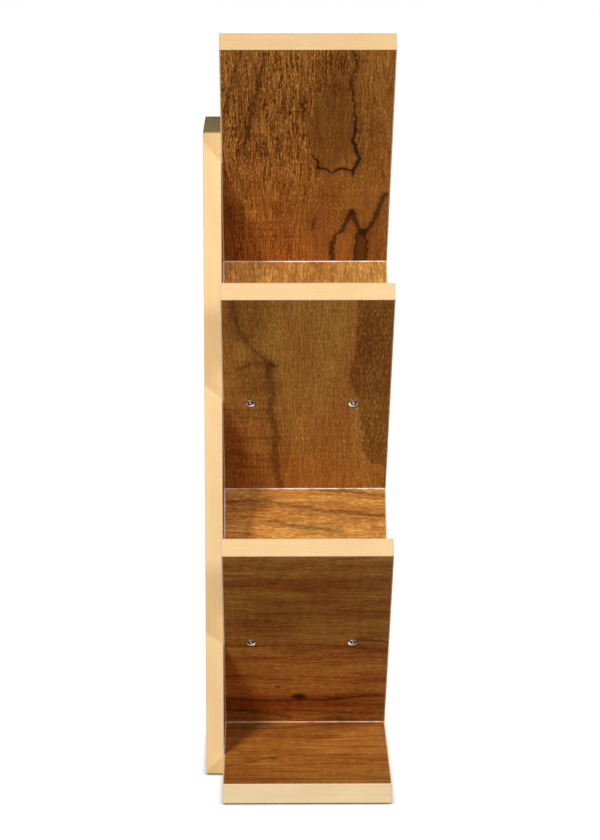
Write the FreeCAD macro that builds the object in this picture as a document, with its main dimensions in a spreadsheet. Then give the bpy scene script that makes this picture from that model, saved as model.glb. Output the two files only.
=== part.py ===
# Tree bookshelf. Five equal boards lean at 45 degrees, to the left and to the right in turn, and
# each one stands square on the upper face of the board below it. The lowest stands on a flat base
# board, and all of them are screwed to an upright trunk board behind. Every edge is banded.
#
# Frame: +Z up, +Y to the back, -X is the left side seen from the front, origin on the floor under
# the middle of the shelf. All lengths are in millimetres.
import FreeCAD
import Part
import Sketcher
import math
import os
from collections import namedtuple

SIZES = {
    "shelf_depth": 150,
    "panel_thickness": 18,
    "base_thickness": 18,
    "base_length": 304,
    "trunk_width": 128,
    "trunk_thickness": 16,
    "trunk_top_margin": 50,
    "branch_length": 300,
    "lower_pitch": 225,
    "upper_pitch": 213,
    "band_thickness": 1,
    "band_edge_radius": 0.8,
    "joint_screw_diameter": 6,
    "joint_screw_bite": 32,
    "joint_screw_rim": 1.6,
    "joint_screw_crown": 1.1,
    "joint_back_inset": 25,
    "joint_front_inset": 33,
    "wood_screw_diameter": 4,
    "wood_screw_rim": 2,
    "wood_screw_sink": 0.3,
    "trunk_screw_bite": 19,
    "trunk_screw_start": 60,
    "trunk_screw_spacing": 45,
    "base_screw_spacing": 80,
    "foot_screw_bite": 10,
    "foot_screw_offset": 5,
    "screw_clearance": 0.1,
    "pilot_allowance": 0.5,
    "recess_width": 1.1,
    "recess_wall": 0.4,
    "recess_depth": 2,
}

# Branches from the floor up. The lean is +1 for one that rises to the left, and the pitch is the
# height from a branch to the next one on its side.
Branch = namedtuple("Branch", "name lean pitch")
BRANCHES = [
    Branch("left_lower_branch", 1, "Sizes.lower_pitch"),
    Branch("right_lower_branch", -1, "Sizes.lower_pitch"),
    Branch("left_middle_branch", 1, "Sizes.upper_pitch"),
    Branch("right_upper_branch", -1, "Sizes.upper_pitch"),
    Branch("left_upper_branch", 1, "Sizes.upper_pitch"),
]
TOP_TIER = len(BRANCHES) - 1
LEAN_ANGLE = 45
SIN45 = "sqrt(0.5)"
COUNTERSINK_ANGLE = 90
LARGEST_ROUNDING = 0.9
TOUCHING = 1e-6

# Expressions on the sheet that several pieces share.
BAND = "Sizes.band_thickness"
THICK = "Sizes.panel_thickness"
DEPTH = "Sizes.shelf_depth"
SHELF_BACK = "((Sizes.shelf_depth - Sizes.trunk_thickness) / 2)"
TRUNK_BACK = "((Sizes.shelf_depth + Sizes.trunk_thickness) / 2)"
CLOSEST_PITCH = "min(Sizes.lower_pitch; Sizes.upper_pitch)"
LEFT_FOOT_X = f"({CLOSEST_PITCH} / 4 - {THICK} * {SIN45})"
JOINT_ROWS = ["Sizes.joint_back_inset", f"({DEPTH} - Sizes.joint_front_inset)"]
JOINT_SPACING = f"({DEPTH} - Sizes.joint_front_inset - Sizes.joint_back_inset)"
JOINT_HOLE = "(Sizes.joint_screw_diameter + 2 * Sizes.screw_clearance)"
JOINT_SINK = "(Sizes.joint_screw_diameter + 2 * Sizes.joint_screw_rim)"
WOOD_HOLE = "(Sizes.wood_screw_diameter + 2 * Sizes.screw_clearance)"
WOOD_SINK = "(Sizes.wood_screw_diameter + 2 * Sizes.wood_screw_rim + 2 * Sizes.wood_screw_sink)"
TRUNK_SCREWS = ["Sizes.trunk_screw_start", "(Sizes.trunk_screw_start + Sizes.trunk_screw_spacing)"]
BASE_SCREWS = ["-Sizes.base_screw_spacing / 2", "Sizes.base_screw_spacing / 2"]
FOOT_SCREW_X = f"({LEFT_FOOT_X} + Sizes.foot_screw_offset)"

# Turns that set a board's own Y from the back to the front of the shelf.
FACING_FRONT = FreeCAD.Rotation(180, 0, 0)
LEANING = {lean: FreeCAD.Rotation(180, -lean * LEAN_ANGLE, 0) for lean in (1, -1)}


def make_sheet(doc):
    """Write the driving dimensions to the sheet, one alias a row."""
    sheet = doc.addObject("Spreadsheet::Sheet", "Sizes")
    for row, (alias, value) in enumerate(SIZES.items(), start=1):
        sheet.set(f"A{row}", alias)
        sheet.set(f"B{row}", str(value))
        sheet.setAlias(f"B{row}", alias)
    doc.recompute()


def foot_height(tier):
    """Height of the lower corner of a branch's foot above the floor, half a pitch a tier."""
    rises = [f"{below.pitch} / 2" for below in BRANCHES[:tier]]
    return "(" + " + ".join(["Sizes.base_thickness"] + rises) + ")"


def foot_x(tier):
    """X of the same corner: the left branches line up, and each right one stands square on them."""
    if BRANCHES[tier].lean > 0:
        return LEFT_FOOT_X
    return f"({LEFT_FOOT_X} - {BRANCHES[tier].pitch} / 2 + 2 * {THICK} * {SIN45})"


def joint_along(tier):
    """Distance from a branch's foot to the middle of the one that stands on it."""
    return f"({BRANCHES[tier].pitch} * {SIN45} - {THICK} / 2)"


def branch_x(tier, along, above):
    """X of a point on a branch, measured from its foot along and above its lower face."""
    lean = BRANCHES[tier].lean
    return f"({foot_x(tier)} - {lean} * ({along} - {above}) * {SIN45})"


def branch_z(tier, along, above):
    """Z of the same point."""
    return f"({foot_height(tier)} + ({along} + {above}) * {SIN45})"


def trunk_height():
    """The trunk ends a margin above the highest screw in the top branch."""
    return f"({branch_z(TOP_TIER, TRUNK_SCREWS[-1], f'{THICK} / 2')} + Sizes.trunk_top_margin)"


def origin_item(body, role):
    """One of a body's own origin planes or axes."""
    return next(item for item in body.Origin.OriginFeatures if item.Role == role)


def new_body(doc, label, place, rotation):
    """A body whose place follows the sheet."""
    body = doc.addObject("PartDesign::Body", label)
    body.Label = label
    body.Placement = FreeCAD.Placement(FreeCAD.Vector(), rotation)
    for axis, value in zip("xyz", place):
        body.setExpression(f"Placement.Base.{axis}", value)
    return body


def new_sketch(body, name, plane, lift="0", tilt=0):
    """A sketch on one of the body's planes, lifted along the normal and tilted about Y."""
    sketch = body.newObject("Sketcher::SketchObject", name)
    sketch.AttachmentSupport = [(origin_item(body, plane), "")]
    sketch.MapMode = "FlatFace"
    turn = FreeCAD.Rotation(FreeCAD.Vector(0, 1, 0), tilt)
    sketch.AttachmentOffset = FreeCAD.Placement(FreeCAD.Vector(), turn)
    sketch.setExpression("AttachmentOffset.Base.z", lift)
    return sketch


def evaluate(sketch, point):
    """The present value of a pair of expressions."""
    return FreeCAD.Vector(*(float(sketch.evalExpression(term)) for term in point), 0)


def dimension(sketch, geometry, vertex, point):
    """Tie a vertex to the sketch's origin by two dimensions from the sheet."""
    for kind, term in zip(("DistanceX", "DistanceY"), point):
        value = float(sketch.evalExpression(term))
        index = sketch.addConstraint(Sketcher.Constraint(kind, -1, 1, geometry, vertex, value))
        sketch.setExpression(f"Constraints[{index}]", term)


def crown_arc(top, rim):
    """An arc from the top of a crowned head, on the sketch's Y axis, down to its rim."""
    height = rim.y - top.y
    radius = (rim.x**2 + height**2) / (2 * height)
    centre = FreeCAD.Vector(0, top.y + radius, 0)
    circle = Part.Circle(centre, FreeCAD.Vector(0, 0, 1), radius)
    return Part.ArcOfCircle(circle, -math.pi / 2, math.atan2(rim.y - centre.y, rim.x))


def draw_outline(sketch, corners, crowned=False):
    """A closed outline, each corner dimensioned from the sheet.

    All its sides are straight, but the first of a crowned one is an arc about the Y axis.
    """
    spots = [evaluate(sketch, corner) for corner in corners]
    for index, (start, stop) in enumerate(zip(spots, spots[1:] + spots[:1])):
        if crowned and index == 0:
            sketch.addGeometry(crown_arc(start, stop), False)
            sketch.addConstraint(Sketcher.Constraint("PointOnObject", index, 3, -2))
        else:
            sketch.addGeometry(Part.LineSegment(start, stop), False)
    for index, corner in enumerate(corners):
        following = (index + 1) % len(corners)
        sketch.addConstraint(Sketcher.Constraint("Coincident", index, 2, following, 1))
        dimension(sketch, index, 1, corner)


def extrude(body, corners, start, stop):
    """Pad an outline in the body's XZ plane from one depth to another, back to front."""
    sketch = new_sketch(body, "profile", "XZ_Plane", lift=f"-({start})")
    draw_outline(sketch, corners)
    pad = body.newObject("PartDesign::Pad", "board")
    pad.Profile = sketch
    pad.Reversed = True
    pad.setExpression("Length", f"({stop}) - ({start})")
    body.Document.recompute()
    return pad


def rectangle(x_start, x_stop, z_start, z_stop):
    """Corners of a rectangle."""
    return [(x_start, z_start), (x_stop, z_start), (x_stop, z_stop), (x_start, z_stop)]


def drill(body, plane, centres, diameter, depth=None, sink=None, inward=False, tilt=0):
    """Drill a row of holes from a plane, through or to a depth, with or without a countersink."""
    sketch = new_sketch(body, "hole_centres", plane, tilt=tilt)
    bore = float(sketch.evalExpression(diameter))
    for index, centre in enumerate(centres):
        circle = Part.Circle(evaluate(sketch, centre), FreeCAD.Vector(0, 0, 1), bore / 2)
        sketch.addGeometry(circle, False)
        dimension(sketch, index, 3, centre)
        width = sketch.addConstraint(Sketcher.Constraint("Diameter", index, bore))
        sketch.setExpression(f"Constraints[{width}]", diameter)
    body.Document.recompute()
    hole = body.newObject("PartDesign::Hole", "holes")
    hole.Profile = sketch
    body.Document.recompute()
    hole.Reversed = inward
    hole.DrillPoint = "Flat"
    hole.setExpression("Diameter", diameter)
    if depth:
        hole.DepthType = "Dimension"
        hole.setExpression("Depth", depth)
    else:
        hole.DepthType = "ThroughAll"
    if sink:
        hole.HoleCutType = "Countersink"
        hole.HoleCutCountersinkAngle = COUNTERSINK_ANGLE
        hole.setExpression("HoleCutDiameter", sink)
    body.Tip = hole
    body.Document.recompute()


def soften(body, pad, axis, outermost):
    """Round a band's edges on its outer face, which is the first or last along an axis."""
    level = outermost(getattr(vertex.Point, axis) for vertex in pad.Shape.Vertexes)
    outer_edges = [
        f"Edge{number}"
        for number, edge in enumerate(pad.Shape.Edges, start=1)
        if all(math.isclose(getattr(v.Point, axis), level, abs_tol=TOUCHING) for v in edge.Vertexes)
    ]
    fillet = body.newObject("PartDesign::Fillet", "eased_edges")
    fillet.Base = (pad, outer_edges)
    fillet.setExpression("Radius", f"min(Sizes.band_edge_radius; {BAND} * {LARGEST_ROUNDING})")
    body.Tip = fillet
    body.Document.recompute()


def make_base(doc):
    """The base board and the bands on its four edges."""
    place = ("0", SHELF_BACK, "0")
    half = "Sizes.base_length / 2"
    core = rectangle(f"-{half} + {BAND}", f"{half} - {BAND}", "0", "Sizes.base_thickness")
    middle = "Sizes.base_thickness / 2"
    back_holes = [(x, middle) for x in BASE_SCREWS]
    bite = "Sizes.trunk_screw_bite + Sizes.pilot_allowance"

    panel = new_body(doc, "base_panel", place, FACING_FRONT)
    extrude(panel, core, BAND, f"{DEPTH} - {BAND}")
    foot_holes = [(f"-{FOOT_SCREW_X}", row) for row in JOINT_ROWS]
    drill(panel, "XY_Plane", foot_holes, WOOD_HOLE, sink=WOOD_SINK, inward=True)
    drill(panel, "XZ_Plane", back_holes, WOOD_HOLE, depth=bite)

    front = new_body(doc, "base_front_band", place, FACING_FRONT)
    pad = extrude(front, core, f"{DEPTH} - {BAND}", DEPTH)
    soften(front, pad, "y", max)

    back = new_body(doc, "base_back_band", place, FACING_FRONT)
    extrude(back, core, "0", BAND)
    drill(back, "XZ_Plane", back_holes, WOOD_HOLE)

    for side, sign, outermost in (("left", "", max), ("right", "-", min)):
        end = new_body(doc, f"base_{side}_band", place, FACING_FRONT)
        outline = rectangle(f"{sign}({half} - {BAND})", f"{sign}({half})", "0", "Sizes.base_thickness")
        pad = extrude(end, outline, "0", DEPTH)
        soften(end, pad, "x", outermost)


def make_trunk(doc):
    """The trunk board, drilled from behind, and the bands on its sides and top."""
    place = ("0", TRUNK_BACK, "0")
    half = "Sizes.trunk_width / 2"
    top = trunk_height()
    deep = "Sizes.trunk_thickness"
    holes = [(f"-({x})", "Sizes.base_thickness / 2") for x in BASE_SCREWS]
    for tier in range(len(BRANCHES)):
        for along in TRUNK_SCREWS:
            x = branch_x(tier, along, f"{THICK} / 2")
            holes.append((f"-{x}", branch_z(tier, along, f"{THICK} / 2")))

    panel = new_body(doc, "trunk_panel", place, FACING_FRONT)
    extrude(panel, rectangle(f"-{half} + {BAND}", f"{half} - {BAND}", "0", f"{top} - {BAND}"), "0", deep)
    drill(panel, "XZ_Plane", holes, WOOD_HOLE, sink=WOOD_SINK)

    for side, sign, outermost in (("left", "", max), ("right", "-", min)):
        edge = new_body(doc, f"trunk_{side}_band", place, FACING_FRONT)
        outline = rectangle(f"{sign}({half} - {BAND})", f"{sign}({half})", "0", f"{top} - {BAND}")
        pad = extrude(edge, outline, "0", deep)
        soften(edge, pad, "x", outermost)

    cap = new_body(doc, "trunk_top_band", place, FACING_FRONT)
    pad = extrude(cap, rectangle(f"-{half}", half, f"{top} - {BAND}", top), "0", deep)
    soften(cap, pad, "z", max)


def cut_ends(lean, along, level):
    """Lower and upper end of a saw cut through a branch, square to it or level with the floor.

    The cut is placed by its distance along the lower face.
    """
    upper = f"{along} - {THICK}" if level else along
    return (f"{lean} * ({along})", "0"), (f"{lean} * ({upper})", THICK)


def branch_outline(lean, foot, outer, foot_level=False, outer_level=False):
    """Corners of a stretch of a branch between two saw cuts, seen from its edge."""
    foot_low, foot_high = cut_ends(lean, foot, foot_level)
    outer_low, outer_high = cut_ends(lean, outer, outer_level)
    return [foot_low, outer_low, outer_high, foot_high]


def make_branch(doc, tier):
    """A branch board and the bands on its foot, outer end, back and front."""
    name, lean, _ = BRANCHES[tier]
    place = (foot_x(tier), SHELF_BACK, foot_height(tier))
    rotation = LEANING[lean]
    length = "Sizes.branch_length"
    lowest = tier == 0
    foot_band = f"{BAND} * sqrt(2)" if lowest else BAND
    core = branch_outline(lean, foot_band, f"{length} - {BAND}", foot_level=lowest)
    back_holes = [(f"{lean} * {along}", f"{THICK} / 2") for along in TRUNK_SCREWS]
    trunk_bite = "Sizes.trunk_screw_bite + Sizes.pilot_allowance"

    panel = new_body(doc, f"{name}_panel", place, rotation)
    extrude(panel, core, BAND, f"{DEPTH} - {BAND}")
    drill(panel, "XZ_Plane", back_holes, WOOD_HOLE, depth=trunk_bite)
    if tier < TOP_TIER:
        joint_holes = [(f"{lean} * {joint_along(tier)}", row) for row in JOINT_ROWS]
        drill(panel, "XY_Plane", joint_holes, JOINT_HOLE, sink=JOINT_SINK, inward=True)
    drill_foot(panel, lean, lowest)

    foot = new_body(doc, f"{name}_foot_band", place, rotation)
    strip = branch_outline(lean, "0", foot_band, foot_level=lowest, outer_level=lowest)
    extrude(foot, strip, BAND, f"{DEPTH} - {BAND}")
    drill_foot(foot, lean, lowest)

    outer = new_body(doc, f"{name}_outer_band", place, rotation)
    pad = extrude(outer, branch_outline(lean, f"{length} - {BAND}", length), "0", DEPTH)
    soften(outer, pad, "x", max if lean > 0 else min)

    whole = branch_outline(lean, "0", f"{length} - {BAND}", foot_level=lowest)
    back = new_body(doc, f"{name}_back_band", place, rotation)
    extrude(back, whole, "0", BAND)
    drill(back, "XZ_Plane", back_holes, WOOD_HOLE)

    front = new_body(doc, f"{name}_front_band", place, rotation)
    pad = extrude(front, whole, f"{DEPTH} - {BAND}", DEPTH)
    soften(front, pad, "y", max)


def drill_foot(body, lean, lowest):
    """Pilot holes in a foot: along the board, or straight up from the floor on the lowest branch."""
    if lowest:
        depth = "Sizes.foot_screw_bite + Sizes.pilot_allowance"
        centres = [("-Sizes.foot_screw_offset", row) for row in JOINT_ROWS]
        drill(body, "XY_Plane", centres, WOOD_HOLE, depth=depth, inward=True, tilt=LEAN_ANGLE)
    else:
        depth = "Sizes.joint_screw_bite + Sizes.pilot_allowance"
        centres = [(row, f"{THICK} / 2") for row in JOINT_ROWS]
        drill(body, "YZ_Plane", centres, JOINT_HOLE, depth=depth, inward=lean > 0)


def draw_screw(sketch, shank, rim, crown, length):
    """Half section of a countersunk screw along +Y, with the rim of its head at the origin.

    The head is flat where its crown is 0. The point is as long as the shank is thick.
    """
    shank_radius = f"{shank} / 2"
    head_radius = f"({shank} / 2 + {rim})"
    corners = [
        ("0", f"-({crown})"),
        (head_radius, "0"),
        (shank_radius, rim),
        (shank_radius, f"{length} - {shank}"),
        ("0", length),
    ]
    draw_outline(sketch, corners, crowned=crown != "0")


def make_screws(doc, label, screw, spacing, place, rotation):
    """A pair of equal screws: their own Z goes into the wood and their own X from one to the other."""
    body = new_body(doc, label, place, rotation)
    body.AllowCompound = True
    section = new_sketch(body, "half_section", "XZ_Plane")
    draw_screw(section, **screw)
    turned = body.newObject("PartDesign::Revolution", "turned_screw")
    turned.Profile = section
    turned.ReferenceAxis = (section, ["V_Axis"])
    turned.Angle = 360
    doc.recompute()

    arm = f"({screw['shank']} / 2 - Sizes.recess_wall)"
    side = "Sizes.recess_width / 2"
    corner = [(arm, side), (side, side), (side, arm)]
    quarters = [("", "", 1), ("-", "", -1), ("-", "-", 1), ("", "-", -1)]
    cross = [(f"{sx}{x}", f"{sy}{y}") for sx, sy, step in quarters for x, y in corner[::step]]
    top = new_sketch(body, "cross", "XY_Plane", lift=f"-({screw['crown']})")
    draw_outline(top, cross)
    recess = body.newObject("PartDesign::Pocket", "cross_recess")
    recess.Profile = top
    recess.Reversed = True
    recess.setExpression("Length", f"{screw['crown']} + Sizes.recess_depth")
    doc.recompute()

    pair = body.newObject("PartDesign::LinearPattern", "pair")
    pair.Originals = [turned, recess]
    pair.Direction = (origin_item(body, "X_Axis"), [""])
    pair.Occurrences = 2
    pair.setExpression("Length", spacing)
    body.Tip = pair
    doc.recompute()


def wood_screw(passed, bite):
    """A flat headed wood screw, sunk under the face of the board that it passes."""
    return {
        "shank": "Sizes.wood_screw_diameter",
        "rim": "Sizes.wood_screw_rim",
        "crown": "0",
        "length": f"({passed} - Sizes.wood_screw_sink + {bite})",
    }


def make_fasteners(doc):
    """The screws that stand each branch on the one below, and those that come through the trunk."""
    joint_screw = {
        "shank": "Sizes.joint_screw_diameter",
        "rim": "Sizes.joint_screw_rim",
        "crown": "Sizes.joint_screw_crown",
        "length": f"({THICK} + Sizes.joint_screw_bite)",
    }
    trunk_screw = wood_screw("Sizes.trunk_thickness", "Sizes.trunk_screw_bite")
    foot_screw = wood_screw("Sizes.base_thickness", "Sizes.foot_screw_bite")
    row_y = f"{SHELF_BACK} - Sizes.joint_back_inset"
    to_front = FreeCAD.Vector(0, -1, 0)
    trunk_y = f"{TRUNK_BACK} - Sizes.wood_screw_sink"
    sine = math.sqrt(0.5)

    first = BRANCHES[0].name
    upright = FreeCAD.Rotation(to_front, FreeCAD.Vector(), FreeCAD.Vector(0, 0, 1), "ZXY")
    place = (FOOT_SCREW_X, row_y, "Sizes.wood_screw_sink")
    make_screws(doc, f"{first}_foot_screws", foot_screw, JOINT_SPACING, place, upright)

    for tier, held in enumerate(BRANCHES[1:]):
        inward = FreeCAD.Vector(BRANCHES[tier].lean * sine, 0, sine)
        turn = FreeCAD.Rotation(to_front, FreeCAD.Vector(), inward, "ZXY")
        along = joint_along(tier)
        place = (branch_x(tier, along, "0"), row_y, branch_z(tier, along, "0"))
        make_screws(doc, f"{held.name}_foot_screws", joint_screw, JOINT_SPACING, place, turn)

    for tier, branch in enumerate(BRANCHES):
        uphill = FreeCAD.Vector(-branch.lean * sine, 0, sine)
        turn = FreeCAD.Rotation(uphill, FreeCAD.Vector(), to_front, "ZXY")
        start = TRUNK_SCREWS[0]
        half = f"{THICK} / 2"
        place = (branch_x(tier, start, half), trunk_y, branch_z(tier, start, half))
        label = f"{branch.name}_trunk_screws"
        make_screws(doc, label, trunk_screw, "Sizes.trunk_screw_spacing", place, turn)

    level = FreeCAD.Rotation(FreeCAD.Vector(1, 0, 0), FreeCAD.Vector(), to_front, "ZXY")
    place = (BASE_SCREWS[0], trunk_y, "Sizes.base_thickness / 2")
    make_screws(doc, "base_trunk_screws", trunk_screw, "Sizes.base_screw_spacing", place, level)


def check(doc, bodies):
    """Stop on a failed object, a broken shape or a cut that missed its board."""
    for item in doc.Objects:
        if any(flag in item.State for flag in ("Invalid", "Error")):
            raise RuntimeError(f"{item.Label} failed: {item.State}")
    for item in doc.Objects:
        if item.TypeId in ("PartDesign::Hole", "PartDesign::Pocket"):
            if item.Shape.Volume >= item.BaseFeature.Shape.Volume:
                raise RuntimeError(f"{item.Label} cuts nothing")
    for body in bodies:
        if body.Shape.isNull() or not body.Shape.isValid():
            raise RuntimeError(f"{body.Label} has no valid shape")


def main():
    """Build the bookshelf and write each piece to its own file."""
    doc = FreeCAD.newDocument("TreeBookshelf")
    make_sheet(doc)
    make_base(doc)
    make_trunk(doc)
    for tier in range(len(BRANCHES)):
        make_branch(doc, tier)
    make_fasteners(doc)
    doc.recompute()
    bodies = [item for item in doc.Objects if item.TypeId == "PartDesign::Body"]
    check(doc, bodies)
    os.makedirs("parts", exist_ok=True)
    for body in bodies:
        body.Shape.exportStep(f"parts/{body.Label}.step")
        print(f"{body.Label}: {len(body.Shape.Solids)} solids, {body.Shape.Volume:.1f} mm3")


main()
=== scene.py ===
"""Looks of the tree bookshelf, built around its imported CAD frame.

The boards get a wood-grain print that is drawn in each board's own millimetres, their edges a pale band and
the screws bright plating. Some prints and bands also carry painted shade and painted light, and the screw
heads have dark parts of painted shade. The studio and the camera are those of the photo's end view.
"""

import logging
import math
from dataclasses import dataclass
from enum import Enum

import bpy
from mathutils import Matrix, Vector


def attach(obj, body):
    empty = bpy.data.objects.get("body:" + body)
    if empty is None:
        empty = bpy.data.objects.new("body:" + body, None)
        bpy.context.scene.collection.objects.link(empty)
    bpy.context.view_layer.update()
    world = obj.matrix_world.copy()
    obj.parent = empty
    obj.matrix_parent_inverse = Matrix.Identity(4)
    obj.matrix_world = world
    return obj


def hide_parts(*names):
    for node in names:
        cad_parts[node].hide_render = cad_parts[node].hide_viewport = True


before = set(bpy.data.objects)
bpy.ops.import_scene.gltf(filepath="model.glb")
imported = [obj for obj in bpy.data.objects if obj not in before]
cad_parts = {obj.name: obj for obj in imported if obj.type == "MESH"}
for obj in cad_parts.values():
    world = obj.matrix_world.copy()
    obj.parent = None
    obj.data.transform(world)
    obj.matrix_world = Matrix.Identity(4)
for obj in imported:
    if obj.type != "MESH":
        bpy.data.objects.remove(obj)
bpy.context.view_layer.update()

LOG = logging.getLogger("tree_bookshelf")
MM = 0.001
BRANCH_ANGLE = math.pi / 4
SLOPE = math.sqrt(0.5)

Point = tuple[float, float]
Line = tuple[Point, ...]
Triple = tuple[float, float, float]
Colour = tuple[float, float, float, float]
Tones = tuple[Colour, Colour]
Socket = bpy.types.NodeSocket
Feeds = dict[str | int, object]

WHITE: Colour = (1.0, 1.0, 1.0, 1.0)
EVEN: Line = ((0.0, 1.0), (1.0, 1.0))
RIGHTWARD: Triple = (1.0, 0.0, 0.0)
BACKWARD: Triple = (0.0, 1.0, 0.0)
TOWARDS_FRONT: Triple = (0.0, -1.0, 0.0)
UPWARD: Triple = (0.0, 0.0, 1.0)


class Run(Enum):
    """Which way a grain, a line or a streak runs on a board."""

    ALONG = "along"
    ACROSS = "across"


class Lean(Enum):
    """The side that a branch rises to, seen from the front."""

    LEFT = 1
    RIGHT = -1


class Ends(Enum):
    """How a round piece of a screw is closed and which way it faces."""

    CLOSED = "closed"
    SLEEVE = "sleeve"
    DISH = "dish"


class NodeGraph:
    """A node tree with short calls for the nodes that the finishes share."""

    def __init__(self, tree: bpy.types.NodeTree) -> None:
        """Take up the tree that nodes are added to."""
        self.tree = tree

    def feed(self, socket: Socket, value: object) -> None:
        """Link a socket to another, or set it to a plain value.

        Args:
            socket: The input.
            value: The output to link, or the value to set.
        """
        if isinstance(value, bpy.types.NodeSocket):
            self.tree.links.new(value, socket)
        else:
            socket.default_value = value

    def add(self, kind: str, feeds: Feeds | None = None, **settings: object) -> bpy.types.Node:
        """Add a node.

        Args:
            kind: The node's type.
            feeds: What its inputs get, by name or number.
            **settings: Its properties by name.

        Returns:
            The node.
        """
        node = self.tree.nodes.new(kind)
        for name, value in settings.items():
            setattr(node, name, value)
        for name, value in (feeds or {}).items():
            self.feed(node.inputs[name], value)
        return node

    def math(self, operation: str, *values: object) -> Socket:
        """The result of a Math node."""
        return self.add("ShaderNodeMath", dict(enumerate(values)), operation=operation).outputs[0]

    def times(self, first: object, second: object) -> Socket:
        """Two numbers multiplied."""
        return self.math("MULTIPLY", first, second)

    def vector(self, operation: str, first: object, second: object) -> Socket:
        """The result of a Vector Math node, where a number counts for all three parts of a vector."""
        return self.add("ShaderNodeVectorMath", {0: first, 1: second}, operation=operation).outputs[0]

    def texture(self, spot: Socket, size: Triple, detail: float) -> bpy.types.Node:
        """A noise texture whose spots have the given lengths, in millimetres."""
        feeds = {"Vector": self.vector("DIVIDE", spot, size), "Scale": 1.0, "Detail": detail}
        return self.add("ShaderNodeTexNoise", feeds)

    def noise(self, spot: Socket, size: Triple, detail: float = 3.0) -> Socket:
        """The level of a noise texture, from 0 to 1."""
        return self.texture(spot, size, detail).outputs["Fac"]

    def shaken(self, spot: Socket, size: Triple, reach: Triple, detail: float = 3.0) -> Socket:
        """A point pushed about by noise, over a reach in millimetres."""
        push = self.vector("SUBTRACT", self.texture(spot, size, detail).outputs["Color"], (0.5, 0.5, 0.5))
        return self.vector("ADD", spot, self.vector("MULTIPLY", push, reach))

    def fade(self, value: Socket, start: float, stop: float, low: float = 0.0, high: float = 1.0) -> Socket:
        """A smooth step from low to high between two values."""
        feeds = {"Value": value, "From Min": start, "From Max": stop, "To Min": low, "To Max": high}
        return self.add("ShaderNodeMapRange", feeds, interpolation_type="SMOOTHSTEP").outputs[0]

    def span(self, value: Socket, rise: Point, fall: Point) -> Socket:
        """A smooth window that is 1 from the end of a rise to the start of a fall."""
        return self.times(self.fade(value, *rise), self.fade(value, *fall, 1.0, 0.0))

    def curve(self, value: Socket, path: Line) -> Socket:
        """A smooth line through points.

        Args:
            value: The value that it follows, from 0 to 1.
            path: The points.

        Returns:
            The line's height there.
        """
        node = self.add("ShaderNodeFloatCurve", {"Value": value})
        node.mapping.extend = "HORIZONTAL"
        line = node.mapping.curves[0]
        line.points[0].location, line.points[1].location = path[0], path[-1]
        for spot in path[1:-1]:
            line.points.new(*spot)
        node.mapping.update()
        return node.outputs[0]

    def blend(self, factor: object, first: object, second: object, mode: str = "MIX") -> Socket:
        """Two colours mixed by a factor."""
        feeds = {0: factor, 6: first, 7: second}
        return self.add("ShaderNodeMix", feeds, data_type="RGBA", blend_type=mode).outputs[2]


def new_finish(
    name: str, roughness: float = 0.5, specular: float = 0.5
) -> tuple[bpy.types.Material, NodeGraph, bpy.types.Node]:
    """A material with a Principled shader.

    Args:
        name: The material's name.
        roughness: The shader's roughness.
        specular: The shader's level of reflection.

    Returns:
        The material, its graph and its shader node.
    """
    material = bpy.data.materials.new(name)
    material.use_nodes = True
    shader = material.node_tree.nodes["Principled BSDF"]
    shader.inputs["Roughness"].default_value = roughness
    shader.inputs["Specular IOR Level"].default_value = specular
    return material, NodeGraph(material.node_tree), shader


def put(name: str, data: bpy.types.ID) -> bpy.types.Object:
    """Add an object to the scene.

    Args:
        name: The object's name.
        data: Its mesh, lamp or camera.

    Returns:
        The object.
    """
    thing = bpy.data.objects.new(name, data)
    bpy.context.scene.collection.objects.link(thing)
    return thing


def dress(node: str, material: bpy.types.Material) -> None:
    """Give a CAD piece its finish.

    Args:
        node: The piece's name.
        material: The finish.
    """
    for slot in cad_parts[node].material_slots:
        slot.material = material
    LOG.info("%s has the finish %s", node, material.name)


@dataclass(frozen=True)
class Place:
    """A board's own axes: its length, its depth, and the corner that both are measured from."""

    corner: Triple
    along: Triple
    across: Triple
    length: float
    depth: float

    def turned(self) -> "Place":
        """The same place with its length and depth exchanged, for bands that run across the board."""
        return Place(self.corner, self.across, self.along, self.depth, self.length)

    def coordinates(self, graph: NodeGraph) -> Socket:
        """Millimetres along, across and through the board, from the object's own coordinates.

        Args:
            graph: The material's graph.

        Returns:
            The millimetres as a vector.
        """
        along, across = Vector(self.along), Vector(self.across)
        turn = Matrix((along, across, along.cross(across)))
        feeds = {
            "Vector": graph.add("ShaderNodeTexCoord").outputs["Object"],
            "Scale": (1 / MM,) * 3,
            "Rotation": turn.to_euler(),
            "Location": -(turn @ Vector(self.corner)),
        }
        return graph.add("ShaderNodeMapping", feeds, vector_type="POINT").outputs["Vector"]


@dataclass(frozen=True)
class Spot:
    """Where a shaded point is on a board, as shares of its length and depth."""

    along: Socket
    across: Socket
    place: Place

    def ahead(self, run: Run) -> Socket:
        """The share in the direction of a run."""
        return self.along if run is Run.ALONG else self.across

    def beside(self, graph: NodeGraph, run: Run, line: Line) -> Socket:
        """The share by which the point lies past a line that follows a run."""
        aside = self.across if run is Run.ALONG else self.along
        return graph.math("SUBTRACT", aside, graph.curve(self.ahead(run), line))

    def breadth(self, run: Run) -> float:
        """The board's millimetres square to a run."""
        return self.place.depth if run is Run.ALONG else self.place.length


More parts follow.
